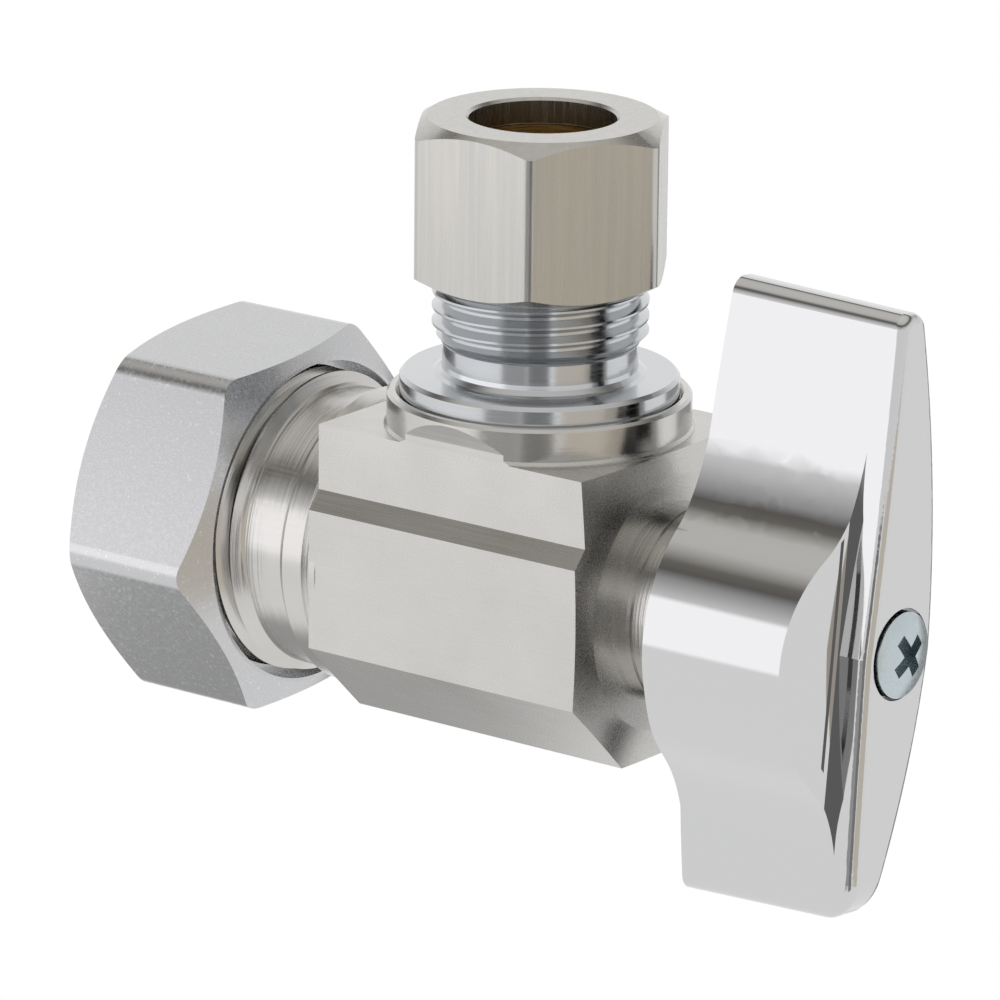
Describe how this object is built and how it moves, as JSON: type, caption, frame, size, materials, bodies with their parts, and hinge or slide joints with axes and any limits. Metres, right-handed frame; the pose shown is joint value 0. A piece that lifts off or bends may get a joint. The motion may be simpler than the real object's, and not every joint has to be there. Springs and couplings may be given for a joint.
{
  "type": "angle stop valve",
  "caption": "Quarter-turn angle stop valve with a compression inlet, a compression outlet at right angles, and a chrome lever handle.",
  "frame": {"origin": "on the inlet's axis at the shoulder where the supply pipe stops", "axes": "+X from the inlet to the handle along the inlet's axis, +Z along the outlet's axis towards its mouth, which is 13 mm in front of the origin"},
  "size_m": [0.0602, 0.0268, 0.0494],
  "materials": {
    "nickel_plate": "satin nickel plate on brass",
    "nut_plate": "brushed nickel plate on brass",
    "bright_plate": "bright chrome plate on brass",
    "handle_chrome": "polished chrome on zinc casting",
    "zinc_steel": "bright zinc plate on steel",
    "raw_brass": "plain turned brass",
    "ball_chrome": "polished chrome plate",
    "seat_ptfe": "PTFE",
    "seal_rubber": "moulded EPDM rubber"
  },
  "bodies": {
    "valve": {"valve_body": "nickel_plate", "outlet_fitting": "bright_plate", "fitting_oring": "seal_rubber", "outlet_seat": "seat_ptfe", "support_seat": "seat_ptfe", "seat_oring": "seal_rubber"},
    "lever": {"handle": "handle_chrome", "handle_screw": "zinc_steel", "stem": "raw_brass", "stem_thrust_washer": "seat_ptfe", "stem_oring_inner": "seal_rubber", "stem_oring_outer": "seal_rubber"},
    "ball": {"ball": "ball_chrome"},
    "inlet_sleeve": {"inlet_ferrule": "raw_brass"},
    "inlet_nut": {"inlet_nut": "nut_plate"},
    "outlet_sleeve": {"outlet_ferrule": "raw_brass"},
    "outlet_nut": {"outlet_nut": "nut_plate"}
  },
  "joints": [
    {"name": "quarter_turn", "type": "hinge", "parent": "valve", "child": "lever", "pos_m": [0.027, 0, 0], "axis": [-1, 0, 0], "range_deg": [-6.5, 83.5]},
    {"name": "ball_turn", "type": "hinge", "parent": "valve", "child": "ball", "pos_m": [0.013, 0, 0], "axis": [-1, 0, 0], "range_deg": [-6.5, 83.5]},
    {"name": "inlet_sleeve_travel", "type": "slide", "parent": "valve", "child": "inlet_sleeve", "axis": [-1, 0, 0], "range_m": [0, 0.00635]},
    {"name": "inlet_nut_turn", "type": "hinge", "parent": "inlet_sleeve", "child": "inlet_nut", "pos_m": [-0.012, 0, 0], "axis": [-1, 0, 0], "range_deg": [0, 1620]},
    {"name": "outlet_sleeve_travel", "type": "slide", "parent": "valve", "child": "outlet_sleeve", "axis": [0, 0, 1], "range_m": [0, 0.00529]},
    {"name": "outlet_nut_turn", "type": "hinge", "parent": "outlet_sleeve", "child": "outlet_nut", "pos_m": [0.013, 0, 0.0255], "axis": [0, 0, 1], "range_deg": [0, 1800]}
  ],
  "couplings": [
    {"joint": "ball_turn", "follows": "quarter_turn", "ratio": 1},
    {"joint": "inlet_sleeve_travel", "follows": "inlet_nut_turn", "m_per_rad": 0.00022458},
    {"joint": "outlet_sleeve_travel", "follows": "outlet_nut_turn", "m_per_rad": 0.00016844}
  ]
}
